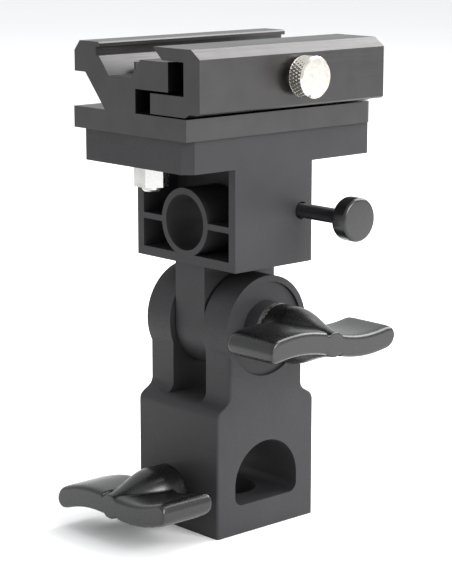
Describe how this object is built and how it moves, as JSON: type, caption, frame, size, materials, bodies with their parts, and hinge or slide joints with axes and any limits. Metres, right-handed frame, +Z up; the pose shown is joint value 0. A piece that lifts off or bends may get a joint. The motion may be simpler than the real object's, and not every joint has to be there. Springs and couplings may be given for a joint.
{
  "type": "umbrella swivel bracket",
  "caption": "Tilting bracket for a light stand, with a clamped stand socket, an umbrella tube with a lock screw, and a flash shoe whose jaw slides on a thumbscrew.",
  "frame": {"origin": "centre of the stand socket's mouth, in the flat bottom of the base", "axes": "+Z up through the tilting head; the tilt axis runs along X with its wing knob at +X; the umbrella tube and the shoe run along Y, with the stand clamp's knob at -Y"},
  "size_m": [0.0644, 0.0742, 0.13],
  "materials": {
    "moulded_plastic": "fine moulded grain",
    "knob_plastic": "semi-gloss",
    "dark_aluminium": "satin dark anodised",
    "zinc_steel": "bright zinc plate",
    "nickel_plate": "nickel plated, knurled",
    "black_steel": "blackened",
    "brass": "turned",
    "fibre": "pressed fibre"
  },
  "bodies": {
    "base": {"base_body": "moulded_plastic", "stand_clamp_insert": "brass", "tilt_bolt": "zinc_steel", "friction_disc_left": "fibre", "friction_disc_right": "fibre"},
    "head": {"head_body": "moulded_plastic", "umbrella_lock_insert": "brass", "shoe_rail": "dark_aluminium", "shoe_fixing_screws": "zinc_steel", "shoe_fixing_washers": "zinc_steel", "shoe_fixing_nuts": "zinc_steel"},
    "tilt_washer": {"tilt_washer": "zinc_steel"},
    "tilt_knob": {"tilt_knob": "knob_plastic", "tilt_knob_insert": "brass"},
    "stand_pad": {"stand_clamp_pad": "brass"},
    "stand_knob": {"stand_clamp_screw": "zinc_steel", "stand_clamp_knob": "knob_plastic", "stand_clamp_knob_insert": "brass"},
    "lock_pad": {"umbrella_lock_pad": "brass"},
    "lock_knob": {"umbrella_lock_screw": "black_steel", "umbrella_lock_knob": "knob_plastic"},
    "jaw": {"shoe_jaw": "dark_aluminium"},
    "thumbscrew": {"shoe_thumbscrew": "nickel_plate", "shoe_retaining_ring": "zinc_steel"}
  },
  "joints": [
    {"name": "head_tilt", "type": "hinge", "parent": "base", "child": "head", "pos_m": [0, 0, 0.0546], "axis": [1, 0, 0], "range_deg": [-90, 90]},
    {"name": "tilt_clamp_slide", "type": "slide", "parent": "base", "child": "tilt_washer", "axis": [1, 0, 0], "range_m": [0, 0.002]},
    {"name": "tilt_knob_turn", "type": "hinge", "parent": "tilt_washer", "child": "tilt_knob", "pos_m": [0, 0, 0.0546], "axis": [1, 0, 0], "range_deg": [0, 720]},
    {"name": "stand_clamp_slide", "type": "slide", "parent": "base", "child": "stand_pad", "axis": [0, 1, 0], "range_m": [-0.001, 0.0025]},
    {"name": "stand_knob_turn", "type": "hinge", "parent": "stand_pad", "child": "stand_knob", "pos_m": [0, -0.0205, 0.0106], "axis": [0, 1, 0], "range_deg": [-360, 900]},
    {"name": "umbrella_lock_slide", "type": "slide", "parent": "head", "child": "lock_pad", "axis": [1, 0, 0], "range_m": [-0.00735, 0.0007]},
    {"name": "umbrella_lock_turn", "type": "hinge", "parent": "lock_pad", "child": "lock_knob", "pos_m": [0.0362, 0.0084, 0.0858], "axis": [1, 0, 0], "range_deg": [-3780, 360]},
    {"name": "shoe_jaw_slide", "type": "slide", "parent": "head", "child": "jaw", "axis": [1, 0, 0], "range_m": [-0.0056, 0.0014]},
    {"name": "thumbscrew_turn", "type": "hinge", "parent": "jaw", "child": "thumbscrew", "pos_m": [0.0282, 0.0006, 0.1219], "axis": [1, 0, 0], "range_deg": [-2880, 720]}
  ],
  "couplings": [
    {"joint": "tilt_knob_turn", "follows": "tilt_clamp_slide", "rad_per_m": 6283.2},
    {"joint": "stand_knob_turn", "follows": "stand_clamp_slide", "rad_per_m": 6283.2},
    {"joint": "umbrella_lock_turn", "follows": "umbrella_lock_slide", "rad_per_m": 8976},
    {"joint": "thumbscrew_turn", "follows": "shoe_jaw_slide", "rad_per_m": 8976}
  ]
}
